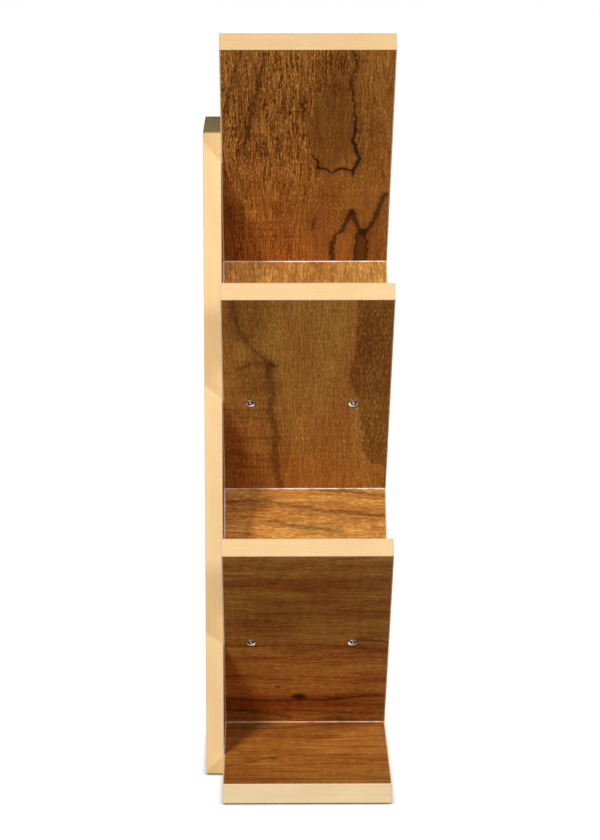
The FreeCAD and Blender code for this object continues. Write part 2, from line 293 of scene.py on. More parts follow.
@dataclass(frozen=True)
class Vein:
    """A dark line in the print, through points that are shares of the board ahead and aside."""

    path: Line
    width: float
    strength: float
    run: Run = Run.ALONG
    tip: float = 0.02
    hardness: float = 0.2
    halo_width: float = 3.5
    halo_strength: float = 0.3

    def shade(self, graph: NodeGraph, spot: Spot) -> Socket:
        """How dark the vein makes a point.

        Args:
            graph: The material's graph.
            spot: The point.

        Returns:
            The darkness, from 0 to 1.
        """
        reach = self.width / spot.breadth(self.run)
        distance = graph.math("ABSOLUTE", spot.beside(graph, self.run, self.path))
        core = graph.fade(distance, self.hardness * reach, reach, self.strength, 0.0)
        halo = graph.fade(distance, 0.0, self.halo_width * reach, self.halo_strength * self.strength, 0.0)
        line = graph.math("MAXIMUM", core, halo)
        start, stop = self.path[0][0], self.path[-1][0]
        window = graph.span(spot.ahead(self.run), (start - self.tip, start), (stop, stop + self.tip))
        return graph.times(window, line)


@dataclass(frozen=True)
class Stain:
    """A darker side of the print, past a line through points that are shares ahead and aside."""

    edge: Line
    softness: float
    strength: float
    run: Run = Run.ALONG
    lead: float = 0.5

    def shade(self, graph: NodeGraph, spot: Spot) -> Socket:
        """How dark the stain makes a point, from 0 to 1."""
        reach, past = self.softness / spot.breadth(self.run), spot.beside(graph, self.run, self.edge)
        return graph.fade(past, -self.lead * reach, reach, 0.0, self.strength)


@dataclass(frozen=True)
class Knot:
    """A dark knot or patch, its centre and half sizes as shares of the board."""

    centre: Point
    size: Point
    strength: float
    core: float = 0.2

    def shade(self, graph: NodeGraph, spot: Spot) -> Socket:
        """How dark the knot makes a point.

        Args:
            graph: The material's graph.
            spot: The point.

        Returns:
            The darkness, from 0 to 1.
        """
        sides = []
        for share, middle, half in zip((spot.along, spot.across), self.centre, self.size):
            offset = graph.math("DIVIDE", graph.math("SUBTRACT", share, middle), half)
            sides.append(graph.times(offset, offset))
        return graph.fade(graph.math("ADD", *sides), self.core, 1.0, self.strength, 0.0)


@dataclass(frozen=True)
class Bars:
    """Uneven darker bars across the grain, within an oval whose sizes are shares of the board."""

    centre: Point
    size: Point
    strength: float
    spacing: float = 7.0
    breadth: float = 60.0
    contrast: Point = (0.42, 0.62)

    def shade(self, graph: NodeGraph, spot: Spot) -> Socket:
        """How dark the bars make a point.

        Args:
            graph: The material's graph.
            spot: The point.

        Returns:
            The darkness, from 0 to 1.
        """
        along = graph.times(spot.along, spot.place.length / self.spacing)
        across = graph.times(spot.across, spot.place.depth / self.breadth)
        sheet = graph.add("ShaderNodeCombineXYZ", {"X": along, "Y": across}).outputs[0]
        waves = graph.noise(sheet, (1.0, 1.0, 1.0), detail=2.0)
        window = Knot(self.centre, self.size, self.strength).shade(graph, spot)
        return graph.times(graph.fade(waves, *self.contrast), window)


@dataclass(frozen=True)
class Flame:
    """Pointed growth lines about a centre line, within a half width and between two shares along."""

    middle: float
    half_width: float
    start: float
    stop: float
    spacing: float
    slope: float
    strength: float
    crest: float = 0.2
    core: float = 0.5
    fade_in: float = 0.08
    fade_out: float = 0.1

    def shade(self, graph: NodeGraph, spot: Spot) -> Socket:
        """How dark the growth lines make a point.

        Args:
            graph: The material's graph.
            spot: The point.

        Returns:
            The darkness, from 0 to 1.
        """
        aside = graph.math("ABSOLUTE", graph.math("SUBTRACT", spot.across, self.middle))
        aside = graph.times(aside, spot.place.depth)
        ahead = graph.times(spot.along, spot.place.length)
        ridge = graph.math("MULTIPLY_ADD", aside, self.slope, ahead)
        wave = graph.math("SINE", graph.times(ridge, 2 * math.pi / self.spacing))
        lines = graph.fade(wave, self.crest, 1.0, 0.0, self.strength)
        inside = graph.fade(aside, self.core * self.half_width, self.half_width, 1.0, 0.0)
        rise, fall = (self.start, self.start + self.fade_in), (self.stop - self.fade_out, self.stop)
        window = graph.times(inside, graph.span(spot.along, rise, fall))
        return graph.times(lines, window)


@dataclass(frozen=True)
class Grain:
    """What all the prints share: spot sizes ahead and aside in millimetres, and ranges of contrast."""

    tone: Point = (150.0, 24.0)
    streaks: Point = (75.0, 4.5)
    fibres: Point = (30.0, 1.9)
    flecks: Point = (5.2, 1.25)
    shimmer: Point = (6.0, 40.0)
    sparkle: Point = (7.0, 1.7)
    waver: Point = (45.0, 22.0)
    rags: Triple = (5.0, 5.0, 40.0)
    through: float = 40.0
    wander: Triple = (9.0, 9.0, 0.0)
    raggedness: Triple = (7.0, 7.0, 0.0)
    tone_range: Point = (0.38, 0.62)
    fibre_range: Point = (0.3, 0.7)
    pale_flecks: Point = (0.5, 0.7)
    dark_flecks: Point = (0.3, 0.46)
    sparkle_range: Point = (0.46, 0.68)
    sparkle_tint: Colour = (0.9, 0.8, 0.7, 1.0)
    gleam: float = 0.36
    dullest: float = 0.77
    darkest: float = 0.2
    layer: float = 1000.0


GRAIN = Grain()


@dataclass(frozen=True)
class WoodPrint:
    """The wood-grain laminate of one board: its ground, its grain and the figures drawn on it, with painted
    shade and painted light added on some boards.
    """

    name: str
    grain: Run
    seed: float
    veins: tuple[Vein, ...] = ()
    # Stain figures and dark patches; on the upper and middle left boards one patch is painted shadow cast by
    # the trunk.
    stains_and_painted_shade: tuple[Stain | Knot | Bars, ...] = ()
    knots: tuple[Knot, ...] = ()
    flames: tuple[Flame, ...] = ()
    honey: Colour = (0.57, 0.26, 0.052, 1.0)
    russet: Colour = (0.43, 0.135, 0.027, 1.0)
    umber: Colour = (0.05, 0.014, 0.006, 1.0)
    # Tint that darkens both the stain figures and the patches of painted shadow.
    stain: Colour = (0.44, 0.34, 0.3, 1.0)
    streaking: float = 0.5
    fibre: float = 0.5
    fleck: float = 0.55
    spread: Triple = (1.0, 1.25, 1.5)
    vigour_along: Line = EVEN
    vigour_across: Line = EVEN
    calm: tuple[Knot, ...] = ()
    # Tone curves along and across the board: on the left boards the darkening toward the outer end is painted
    # shade, and on the right boards the lighter back part is painted light.
    tone_and_shade_along: Line = EVEN
    painted_light_across: Line = EVEN
    roughness: float = 0.48
    specular: float = 0.03

    def stretch(self, size: Point) -> Triple:
        """Spot lengths for noise that follows the grain, from its sizes ahead and aside."""
        sides = size if self.grain is Run.ALONG else size[::-1]
        return (*sides, GRAIN.through)

    def ground(self, graph: NodeGraph, board: Socket, bent: Socket, vigour: Socket) -> Socket:
        """The print without its figures: a slow change of tone, fibres, pores and cross shimmer.

        Args:
            graph: The material's graph.
            board: Millimetres on the board.
            bent: The same, pushed about a little so that the grain wanders.
            vigour: How strongly the fibres and pores show there.

        Returns:
            The colour.
        """
        tone = graph.times(graph.noise(board, self.stretch(GRAIN.tone)), 1 - self.streaking)
        streaks = graph.noise(bent, self.stretch(GRAIN.streaks))
        mixed = graph.math("MULTIPLY_ADD", streaks, self.streaking, tone)
        colour = graph.blend(graph.fade(mixed, *GRAIN.tone_range), self.honey, self.russet)
        fibres = graph.noise(bent, self.stretch(GRAIN.fibres))
        flecks = graph.noise(bent, self.stretch(GRAIN.flecks), detail=2.0)
        shimmer = graph.noise(board, self.stretch(GRAIN.shimmer))
        level = graph.fade(fibres, *GRAIN.fibre_range, -0.5 * self.fibre, 0.5 * self.fibre)
        level = graph.math("ADD", level, graph.fade(flecks, *GRAIN.pale_flecks, 0.0, self.fleck))
        level = graph.math("SUBTRACT", level, graph.fade(flecks, *GRAIN.dark_flecks, 0.5 * self.fleck, 0.0))
        gleam = graph.math("MULTIPLY_ADD", shimmer, GRAIN.gleam, GRAIN.dullest)
        level = graph.math("MAXIMUM", graph.math("MULTIPLY_ADD", level, vigour, gleam), GRAIN.darkest)
        powers = (graph.math("POWER", level, power) for power in self.spread)
        tint = graph.add("ShaderNodeCombineXYZ", dict(enumerate(powers))).outputs[0]
        return graph.vector("MULTIPLY", colour, tint)

    def build(self, place: Place) -> bpy.types.Material:
        """The finish for a board.

        Args:
            place: Where the board lies.

        Returns:
            The finish.
        """
        material, graph, shader = new_finish(self.name, self.roughness, self.specular)
        board = graph.vector("ADD", place.coordinates(graph), (0.0, 0.0, GRAIN.layer * self.seed))
        bent = graph.shaken(board, self.stretch(GRAIN.waver), GRAIN.wander)
        loose = graph.shaken(board, GRAIN.rags, GRAIN.raggedness, detail=5.0)
        parts = graph.add("ShaderNodeSeparateXYZ", {0: loose}).outputs
        along = graph.math("DIVIDE", parts[0], place.length)
        across = graph.math("DIVIDE", parts[1], place.depth)
        spot = Spot(along, across, place)
        vigour = graph.times(graph.curve(along, self.vigour_along), graph.curve(across, self.vigour_across))
        for patch in self.calm:
            vigour = graph.times(vigour, graph.math("SUBTRACT", 1.0, patch.shade(graph, spot)))
        colour = self.ground(graph, board, bent, vigour)
        # The tone curves, which carry painted shade on the left boards and painted light on the right boards.
        for share, tone in ((along, self.tone_and_shade_along), (across, self.painted_light_across)):
            colour = graph.vector("MULTIPLY", colour, graph.curve(share, tone))
        sparkle = graph.fade(graph.noise(bent, self.stretch(GRAIN.sparkle)), *GRAIN.sparkle_range)
        tint = graph.blend(sparkle, self.stain, GRAIN.sparkle_tint)
        # Stain figures and patches of painted shadow darken the colour.
        for stain in self.stains_and_painted_shade:
            colour = graph.blend(stain.shade(graph, spot), colour, tint, "MULTIPLY")
        for figure in (*self.flames, *self.knots, *self.veins):
            colour = graph.blend(figure.shade(graph, spot), colour, self.umber)
        graph.feed(shader.inputs["Base Color"], colour)
        return material


@dataclass(frozen=True)
class EdgeBand:
    """The pale edge band, with faint streaks along its length; its sizes are in millimetres. The glue and the
    painted shade on the trunk's top use it too.
    """

    name: str
    tones: Tones = ((0.88, 0.60, 0.315, 1.0), (0.80, 0.52, 0.25, 1.0))
    roughness: float = 0.5
    specular: float = 0.1
    streaks: Triple = (70.0, 3.0, 3.0)
    patches: Triple = (45.0, 30.0, 30.0)
    contrast: Point = (0.3, 0.7)

    def build(self, place: Place) -> bpy.types.Material:
        """The finish for a band.

        Args:
            place: Where the band lies, with the band's length as its own.

        Returns:
            The finish.
        """
        material, graph, shader = new_finish(self.name, self.roughness, self.specular)
        spot = place.coordinates(graph)
        streaks = graph.times(graph.noise(spot, self.streaks), 0.5)
        tone = graph.math("MULTIPLY_ADD", graph.noise(spot, self.patches, detail=2.0), 0.5, streaks)
        graph.feed(shader.inputs["Base Color"], graph.blend(graph.fade(tone, *self.contrast), *self.tones))
        return material


@dataclass(frozen=True)
class PlatingAndPaintedShade:
    """Bright zinc plating on the screws, a little uneven; in dark tones it is the painted shade in the screw
    heads. Its sizes are in millimetres.
    """

    name: str = "bright_plating"
    tones: Tones = ((0.88, 0.83, 0.77, 1.0), (0.65, 0.62, 0.58, 1.0))
    spots: Triple = (1.6, 1.6, 1.6)
    contrast: Point = (0.35, 0.65)
    wear: Point = (0.3, 0.7)
    roughness: Point = (0.3, 0.44)

    def build(self) -> bpy.types.Material:
        """The finish, in the object's own coordinates.

        Returns:
            The finish.
        """
        material, graph, shader = new_finish(self.name)
        place = Place((0.0, 0.0, 0.0), RIGHTWARD, BACKWARD, 1.0, 1.0)
        uneven = graph.noise(place.coordinates(graph), self.spots)
        graph.feed(shader.inputs["Base Color"], graph.blend(graph.fade(uneven, *self.contrast), *self.tones))
        graph.feed(shader.inputs["Roughness"], graph.fade(uneven, *self.wear, *self.roughness))
        shader.inputs["Metallic"].default_value = 1.0
        return material


@dataclass(frozen=True)
class Stock:
    """The boards' common sizes in millimetres."""

    depth: float = 150.0
    thickness: float = 18.0
    front: float = -83.0
    back: float = 67.0
    branch_length: float = 300.0
    base_length: float = 304.0
    trunk_width: float = 128.0
    trunk_height: float = 586.6


STOCK = Stock()
BARE: Tones = ((0.94, 0.8, 0.6, 1.0), (0.88, 0.71, 0.49, 1.0))


@dataclass(frozen=True)
class BranchBoard:
    """One leaning board with its bands and screws."""

    name: str
    lean: Lean
    foot: Point
    wood: WoodPrint
    end_tones: Tones = ((0.88, 0.6, 0.315, 1.0), (0.82, 0.54, 0.265, 1.0))

    def place(self) -> Place:
        """The board's own axes, from the back corner of its foot.

        Returns:
            The place.
        """
        along = (-self.lean.value * SLOPE, 0.0, SLOPE)
        corner = (self.foot[0], STOCK.back, self.foot[1])
        return Place(corner, along, TOWARDS_FRONT, STOCK.branch_length, STOCK.depth)

    def dress(self, plating: bpy.types.Material) -> None:
        """Put the print on the panel, the pale finish on the bands and plating on the screws.

        Args:
            plating: The screws' finish.
        """
        place = self.place()
        dress(f"{self.name}_panel", self.wood.build(place))
        bands = (
            ("front", EdgeBand.tones, place),
            ("back", BARE, place),
            ("outer", self.end_tones, place.turned()),
            ("foot", BARE, place.turned()),
        )
        for side, tones, lie in bands:
            dress(f"{self.name}_{side}_band", EdgeBand(f"{self.name}_{side}_finish", tones).build(lie))
        for screws in ("foot_screws", "trunk_screws"):
            dress(f"{self.name}_{screws}", plating)


@dataclass(frozen=True)
class BaseBoard:
    """The flat board on the floor with its bands and screws."""

    wood: WoodPrint
    # Paler than the branch ends: the band's own colour with painted light on the base's upright end.
    end_tones: Tones = ((0.91, 0.69, 0.41, 1.0), (0.86, 0.63, 0.355, 1.0))

    def place(self) -> Place:
        """The board's own axes, from the back corner of its left end."""
        corner = (-STOCK.base_length / 2, STOCK.back, 0.0)
        return Place(corner, RIGHTWARD, TOWARDS_FRONT, STOCK.base_length, STOCK.depth)

    def dress(self, plating: bpy.types.Material) -> None:
        """Put the print on the panel, the pale finish on the bands, with painted light on the ends, and
        plating on the screws.

        Args:
            plating: The screws' finish.
        """
        place = self.place()
        dress("base_panel", self.wood.build(place))
        long_finish = EdgeBand("base_long_band").build(place)
        end_finish_with_painted_light = EdgeBand("base_end_band_painted_light", self.end_tones).build(place.turned())
        for side in ("front", "back"):
            dress(f"base_{side}_band", long_finish)
        for side in ("left", "right"):
            dress(f"base_{side}_band", end_finish_with_painted_light)
        dress("base_trunk_screws", plating)


@dataclass(frozen=True)
class TrunkBoard:
    """The upright board behind, with its bands."""

    wood: WoodPrint
    # Paler than the other bands: the band's own colour with painted light on the trunk's upright sides.
    painted_light_side_tones: Tones = ((0.94, 0.655, 0.335, 1.0), (0.88, 0.59, 0.285, 1.0))
    # Painted shade: the top band is pale like the others, darkened here where the top branch shades it.
    painted_shade_top_tones: Tones = ((0.47, 0.36, 0.16, 1.0), (0.36, 0.27, 0.115, 1.0))

    def place(self) -> Place:
        """The board's own axes, from its lower left corner seen from the front."""
        corner = (-STOCK.trunk_width / 2, STOCK.back, 0.0)
        return Place(corner, UPWARD, RIGHTWARD, STOCK.trunk_height, STOCK.trunk_width)

    def dress(self) -> None:
        """Put the print on the panel, the pale finish with some painted light on the side bands and painted
        shade on the top band.
        """
        place = self.place()
        dress("trunk_panel", self.wood.build(place))
        painted_light_side_finish = EdgeBand("trunk_side_band_painted_light", self.painted_light_side_tones).build(place)
        for side in ("left", "right"):
            dress(f"trunk_{side}_band", painted_light_side_finish)
        # The top band's dark tones are painted shade.
        top_band = EdgeBand("trunk_end_band_painted_shade", self.painted_shade_top_tones, specular=0.0)
        dress("trunk_top_band", top_band.build(place.turned()))


UPPER_LEFT_WOOD = WoodPrint(
    "upper_left_wood",
    Run.ALONG,
    seed=1.0,
    veins=(
        Vein(
            ((0.447, 0.772), (0.469, 0.791), (0.513, 0.807), (0.532, 0.798), (0.591, 0.773), (0.645, 0.784)),
            2.4, 0.95, tip=0.06, hardness=0.4,
        ),
        Vein(
            (
                (0.645, 0.784), (0.725, 0.774), (0.778, 0.765), (0.845, 0.750),
                (0.891, 0.757), (0.932, 0.779), (0.99, 0.753),
            ),
            1.9, 0.82, tip=0.06, hardness=0.3,
        ),
        Vein(
            ((0.567, 0.464), (0.615, 0.453), (0.653, 0.439), (0.690, 0.456), (0.772, 0.447)),
            2.6, 0.95, Run.ACROSS,
        ),
        Vein(((0.464, 0.567), (0.486, 0.573), (0.513, 0.539)), 2.0, 0.9),
        Vein(((0.619, 0.469), (0.725, 0.474), (0.83, 0.47), (0.907, 0.462), (0.993, 0.473)), 1.4, 0.5),
        Vein(((0.725, 0.028), (0.819, 0.05), (0.907, 0.091), (0.993, 0.125)), 2.4, 0.6),
        Vein(((0.565, 0.139), (0.672, 0.167), (0.799, 0.208), (0.983, 0.255)), 2.4, 0.6),
        Vein(
            ((0.0, 0.669), (0.077, 0.664), (0.129, 0.679), (0.152, 0.714), (0.199, 0.74), (0.251, 0.777)),
            3.8, 0.8, hardness=0.3,
        ),
        Vein(((0.0, 0.836), (0.064, 0.837), (0.152, 0.84)), 6.2, 0.7, hardness=0.6),
        Vein(((0.0, 0.802), (0.064, 0.803), (0.13, 0.808)), 1.9, 0.85),
        Vein(((0.0, 0.87), (0.064, 0.872), (0.15, 0.862)), 1.9, 0.85),
        Vein(((0.14, 0.84), (0.187, 0.811), (0.227, 0.784), (0.251, 0.777)), 4.0, 0.8, hardness=0.3),
        Vein(((0.147, 0.854), (0.187, 0.894), (0.245, 0.926), (0.336, 0.969)), 3.6, 0.8, hardness=0.3),
        Vein(((0.165, 0.535), (0.211, 0.555)), 1.4, 0.7),
    ),
    stains_and_painted_shade=(
        Knot((0.66, 0.65), (0.21, 0.14), 0.5, core=0.4),
        Knot((0.9, 0.66), (0.14, 0.16), 0.6, core=0.1),
        Knot((0.1, 0.95), (0.2, 0.1), 0.55, core=0.1),
        Knot((0.6, 0.12), (0.45, 0.06), 0.4, core=0.1),
        Knot((0.66, 0.3), (0.42, 0.32), 0.14, core=0.1),
        # Painted shadow of the trunk, near the foot and the back edge.
        Knot((0.08, 0.02), (0.28, 0.15), 0.5, core=0.2),
        Bars((0.2, 0.3), (0.22, 0.3), 0.3),
    ),
    flames=(Flame(0.66, 34.0, 0.12, 0.46, 7.0, 1.3, 0.28), Flame(0.62, 24.0, 0.52, 1.05, 6.5, -1.7, 0.32)),
    honey=(0.555, 0.209, 0.036, 1.0),
    russet=(0.435, 0.143, 0.025, 1.0),
    fibre=0.95,
    fleck=0.95,
    vigour_along=((0.0, 0.6), (0.3, 0.65), (0.5, 1.0), (1.0, 1.0)),
    vigour_across=((0.0, 1.0), (0.68, 1.0), (0.82, 0.6), (1.0, 0.6)),
    calm=(Knot((0.62, 0.65), (0.3, 0.15), 0.7, core=0.4), Knot((0.14, 0.7), (0.3, 0.3), 0.5, core=0.3)),
    # Painted shade: the board gets darker toward its outer end.
    tone_and_shade_along=((0.0, 1.0), (0.3, 0.96), (0.6, 0.78), (1.0, 0.78)),
)
MIDDLE_LEFT_WOOD = WoodPrint(
    "middle_left_wood",
    Run.ALONG,
    seed=2.0,
    veins=(
        Vein(
            ((0.668, 0.305), (0.686, 0.285), (0.746, 0.197), (0.81, 0.128), (0.891, 0.089), (1.0, 0.068)),
            3.2, 0.55, hardness=0.1,
        ),
        Vein(
            (
                (0.0, 0.349), (0.135, 0.32), (0.225, 0.313), (0.302, 0.32), (0.365, 0.306),
                (0.449, 0.285), (0.511, 0.298), (0.572, 0.292), (0.632, 0.278), (0.668, 0.285),
            ),
            6.0, 0.5,
        ),
        Vein(((0.115, 0.65), (0.17, 0.677), (0.251, 0.683), (0.305, 0.671)), 5.0, 0.45, Run.ACROSS, 0.05),
    ),
    stains_and_painted_shade=(
        Stain(
            (
                (0.133, 0.981), (0.159, 0.887), (0.224, 0.849), (0.301, 0.842),
                (0.365, 0.822), (0.448, 0.811), (0.535, 0.787), (0.583, 0.751),
                (0.662, 0.754), (0.75, 0.778), (0.867, 0.783), (1.0, 0.774),
            ),
            1.5, 0.78,
        ),
        Knot((0.8, 0.87), (0.2, 0.1), 0.35, core=0.1),
        Knot((0.95, 0.15), (0.25, 0.2), 0.7, core=0.1),
        Knot((0.62, 0.2), (0.16, 0.14), 0.6, core=0.1),
        # Painted shadow of the trunk, near the foot and the back edge.
        Knot((0.12, 0.02), (0.26, 0.13), 0.42, core=0.2),
        Bars((0.3, 0.18), (0.34, 0.3), 0.5),
    ),
    honey=(0.58, 0.251, 0.0465, 1.0),
    russet=(0.505, 0.188, 0.036, 1.0),
    streaking=0.3,
    fibre=0.34,
    fleck=0.42,
    # Painted shade: the board gets darker toward its outer end.
    tone_and_shade_along=((0.0, 1.0), (0.35, 1.0), (0.65, 0.9), (1.0, 0.84)),
)
LOWER_LEFT_WOOD = WoodPrint(
    "lower_left_wood",
    Run.ACROSS,
    seed=3.0,
    veins=(
        Vein(((0.0, 0.486), (0.247, 0.482), (0.598, 0.484), (1.0, 0.445)), 2.4, 0.5, Run.ACROSS),
        Vein(((0.841, 0.516), (1.0, 0.501)), 5.0, 0.5, Run.ACROSS, 0.1),
        Vein(((0.195, 0.278), (0.416, 0.269)), 1.6, 0.5, Run.ACROSS),
        Vein(((0.0, 0.151), (0.282, 0.138), (0.419, 0.138)), 2.4, 0.7, Run.ACROSS),
        Vein(
            ((0.505, 0.149), (0.577, 0.141), (0.677, 0.149), (0.857, 0.167), (1.0, 0.17)),
            2.4, 0.75, Run.ACROSS,
        ),
        Vein(((0.0, 0.083), (0.173, 0.068), (0.391, 0.037)), 6.0, 0.5, Run.ACROSS, 0.08),
        Vein(((0.39, 0.082), (0.644, 0.066), (1.0, 0.058)), 2.6, 0.5, Run.ACROSS, 0.08),
        Vein(((0.3, 0.843), (0.36, 0.895)), 4.0, 0.45, Run.ACROSS, 0.04),
        Vein(((0.652, 0.979), (0.854, 0.992)), 3.0, 0.4, Run.ACROSS, 0.08),
    ),
    stains_and_painted_shade=(Knot((0.08, 0.8), (0.2, 0.25), 0.5, core=0.1), Knot((0.66, 0.3), (0.12, 0.3), 0.4, core=0.1)),
    knots=(
        Knot((0.16, 0.462), (0.032, 0.06), 0.92, core=0.02),
        Knot((0.228, 0.329), (0.012, 0.03), 0.65, core=0.02),
    ),
    honey=(0.635, 0.266, 0.048, 1.0),
    russet=(0.41, 0.112, 0.021, 1.0),
    fibre=0.36,
    fleck=0.36,
    streaking=0.3,
    # Painted shade: the board is darker at its foot and most of all past its middle.
    tone_and_shade_along=((0.0, 0.85), (0.25, 0.92), (0.45, 0.84), (0.6, 0.72), (1.0, 0.79)),
)
BASE_WOOD = WoodPrint(
    "base_wood",
    Run.ACROSS,
    seed=4.0,
    veins=(
        Vein(((0.0, 0.57), (0.318, 0.564), (0.609, 0.6), (0.902, 0.631)), 4.0, 0.5, Run.ACROSS, 0.06),
        Vein(
            ((0.0, 0.17), (0.162, 0.221), (0.295, 0.267), (0.359, 0.279), (0.598, 0.284), (1.0, 0.288)),
            3.0, 0.5, Run.ACROSS,
        ),
        Vein(((0.0, 0.05), (1.0, 0.046)), 4.0, 0.4, Run.ACROSS),
    ),
    knots=(Knot((0.25, 0.305), (0.02, 0.03), 0.5),),
    honey=(0.48, 0.189, 0.0305, 1.0),
    russet=(0.366, 0.103, 0.017, 1.0),
    fibre=0.36,
    fleck=0.34,
    tone_and_shade_along=((0.0, 0.9), (0.14, 0.92), (0.28, 1.0), (1.0, 1.0)),
    specular=0.012,
)
LOWER_RIGHT_WOOD = WoodPrint(
    "lower_right_wood",
    Run.ACROSS,
    seed=5.0,
    veins=(
        Vein(
            ((0.0, 0.421), (0.248, 0.425), (0.463, 0.404), (0.677, 0.387), (1.0, 0.37)),
            3.0, 0.55, Run.ACROSS,
        ),
        Vein(((0.284, 0.352), (0.467, 0.334), (0.712, 0.316)), 3.0, 0.5, Run.ACROSS, 0.05),
        Vein(((0.592, 0.465), (1.0, 0.444)), 2.4, 0.5, Run.ACROSS, 0.05),
    ),
    # Painted light: a pale ground, toned down in front of the back fifth, so that the back strip, in the
    # trunk's shadow, is lighter.
    honey=(0.76, 0.36, 0.075, 1.0),
    russet=(0.61, 0.22, 0.045, 1.0),
    fibre=0.36,
    fleck=0.42,
    painted_light_across=((0.0, 1.0), (0.19, 1.0), (0.3, 0.8), (1.0, 0.8)),
)
UPPER_RIGHT_WOOD = WoodPrint(
    "upper_right_wood",
    Run.ALONG,
    seed=6.0,
    # Painted light: a pale ground, toned down in front of the back fifth, so that the back strip, in the
    # trunk's shadow, is lighter.
    honey=(0.78, 0.36, 0.078, 1.0),
    russet=(0.69, 0.28, 0.058, 1.0),
    streaking=0.3,
    fibre=0.4,
    fleck=0.5,
    painted_light_across=((0.0, 1.0), (0.18, 1.0), (0.29, 0.64), (1.0, 0.64)),
)
TRUNK_WOOD = WoodPrint("trunk_wood", Run.ALONG, seed=7.0)

# From the lowest branch to the highest, each standing on the one before.
BRANCHES = (
    BranchBoard("left_lower_branch", Lean.LEFT, (40.522, 18.0), LOWER_LEFT_WOOD),
    BranchBoard("right_lower_branch", Lean.RIGHT, (-46.522, 130.5), LOWER_RIGHT_WOOD),
    BranchBoard("left_middle_branch", Lean.LEFT, (40.522, 243.0), MIDDLE_LEFT_WOOD),
    BranchBoard("right_upper_branch", Lean.RIGHT, (-40.522, 349.5), UPPER_RIGHT_WOOD),
    BranchBoard(
        "left_upper_branch",
        Lean.LEFT,
        (40.522, 456.0),
        UPPER_LEFT_WOOD,
        end_tones=((0.79, 0.535, 0.27, 1.0), (0.72, 0.475, 0.225, 1.0)),
    ),
)
# Millimetres along each branch to the middle of the foot that stands on it.
JOINT_REACHES = (150.1, 150.1, 141.61, 141.61)


@dataclass(frozen=True)
class GlueLine:
    """A pale line of glue in the corner between two boards, thick and thin by turns, in millimetres."""

    name: str
    start: Vector
    stop: Vector
    out: Vector
    lift: Vector
    widest: float = 1.4
    thinnest: float = 0.3
    height: float = 0.25
    waves: Triple = (9.0, 31.0, 67.0)
    stations: int = 75

    @classmethod
    def at_foot(cls, branch: BranchBoard, carrier_slope: float, margin: float = 1.5) -> "GlueLine":
        """The line along a branch's foot, on the board that carries it.

        Args:
            branch: The branch.
            carrier_slope: The carrier's angle from level, in radians.
            margin: Millimetres that the line stops short of the branch's edges.

        Returns:
            The line.
        """
        lean, across, rise = branch.lean.value, math.cos(carrier_slope), math.sin(carrier_slope)
        ends = (STOCK.back - margin, STOCK.front + margin)
        start, stop = (Vector((branch.foot[0], side, branch.foot[1])) for side in ends)
        out, lift = Vector((-lean * across, 0.0, -rise)), Vector((-lean * rise, 0.0, across))
        return cls(f"{branch.name}_glue_line", start, stop, out, lift, widest=0.9, thinnest=0.1)

    @classmethod
    def at_trunk(cls, branch: BranchBoard, joint: float, margin: float = 1.5) -> "GlueLine":
        """The line along the trunk, on the upper face of a branch.

        Args:
            branch: The branch.
            joint: Millimetres along it to the middle of the foot that stands on it.
            margin: Millimetres that the line stops short of both ends.

        Returns:
            The line.
        """
        place = branch.place()
        along, lift = Vector(place.along), Vector((branch.lean.value * SLOPE, 0.0, SLOPE))
        corner = Vector(place.corner) + STOCK.thickness * lift
        start, stop = corner + margin * along, corner + (joint - STOCK.thickness / 2 - margin) * along
        return cls(f"{branch.name}_back_glue_line", start, stop, Vector(TOWARDS_FRONT), lift)

    @classmethod
    def on_base(cls, reach: float, margin: float = 1.5) -> "GlueLine":
        """The line along the trunk on the base.

        Args:
            reach: The place on the X axis that it goes to.
            margin: Millimetres that the line stops short of both ends.

        Returns:
            The line.
        """
        ends = (-STOCK.trunk_width / 2 + margin, reach - margin)
        start, stop = (Vector((x, STOCK.back, STOCK.thickness)) for x in ends)
        return cls("base_back_glue_line", start, stop, Vector(TOWARDS_FRONT), Vector(UPWARD))

    def width(self, share: float) -> float:
        """How far the glue reaches out of the joint.

        Args:
            share: The place, as a share of the line's length.

        Returns:
            The width in millimetres.
        """
        phases = (self.start.z, 0.0, 0.0)
        swell = sum(math.sin(rate * share + phase) for rate, phase in zip(self.waves, phases))
        return self.thinnest + (self.widest - self.thinnest) * (0.5 + swell / (2 * len(self.waves)))

    def build(self, finish: bpy.types.Material) -> None:
        """Lay the line in its corner.

        Args:
            finish: The glue's finish.
        """
        run = self.stop - self.start
        points, faces = [], []
        for index in range(self.stations + 1):
            share = index / self.stations
            corner = self.start + share * run
            points += [corner, corner + self.width(share) * self.out, corner + self.height * self.lift]
            if index:
                first = 3 * (index - 1)
                for one, two in ((0, 1), (1, 2), (2, 0)):
                    faces.append((first + one, first + two, first + two + 3, first + one + 3))
        last = 3 * self.stations
        faces += [(0, 2, 1), (last, last + 1, last + 2)]
        if run.dot(self.out.cross(self.lift)) < 0.0:
            faces = [face[::-1] for face in faces]
        mesh = bpy.data.meshes.new(self.name)
        mesh.from_pydata([tuple(point * MM) for point in points], [], faces)
        mesh.update()
        mesh.materials.append(finish)
        line = put(self.name, mesh)
        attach(line, "root")


@dataclass(frozen=True)
class HeadShape:
    """The parts of a dished screw head, as shares of its radius, its crown and its pin's radius."""

    sides: int = 40
    lip: float = 0.94
    floor_lift: float = 0.05
    dish_height: float = 0.95
    floor_height: float = 0.02
    pin_height: float = 0.5
    pin_top: float = 0.7


